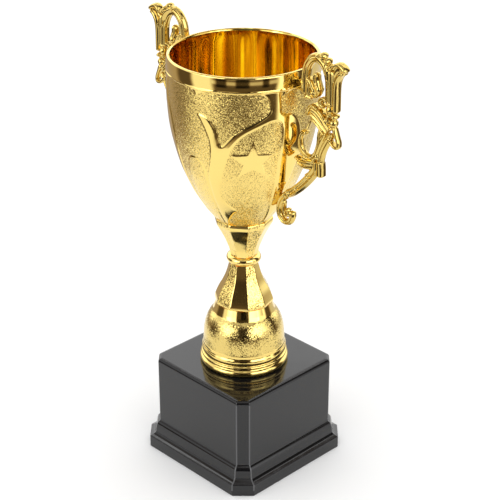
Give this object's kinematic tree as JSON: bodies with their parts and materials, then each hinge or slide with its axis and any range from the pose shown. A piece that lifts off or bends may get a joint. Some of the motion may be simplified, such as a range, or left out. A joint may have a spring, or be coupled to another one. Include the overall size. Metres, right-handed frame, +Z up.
{
  "type": "cup trophy",
  "caption": "Award cup with an open flared bowl, scroll handles, faceted stem, bell foot and square black plinth, drawn together by a tie rod.",
  "frame": {"origin": "centre of the plinth's footprint, on the surface that the cup stands on", "axes": "+Z up the tie rod; the two handles lie along +X and -X; the cup's front faces -Y"},
  "size_m": [0.1496, 0.09, 0.2653],
  "materials": {
    "gold_plating": "bright gold metallising over moulded plastic, part polished and part sand-grained",
    "black_gloss": "glossy black moulded plastic",
    "black_matt": "matt black sheet",
    "zinc_steel": "zinc-plated",
    "cast_ballast": "rough cast"
  },
  "bodies": {
    "root": {"bowl": "gold_plating", "handle_right": "gold_plating", "handle_left": "gold_plating", "stem_funnel": "gold_plating", "stem_collar": "gold_plating", "stem_skirt": "gold_plating", "foot": "gold_plating", "plinth": "black_gloss", "base_cover": "black_matt", "cover_screws": "zinc_steel", "ballast": "cast_ballast", "tie_rod": "zinc_steel", "upper_nut": "zinc_steel", "upper_washer": "zinc_steel", "lower_nut": "zinc_steel", "lower_washer": "zinc_steel"}
  },
  "joints": []
}
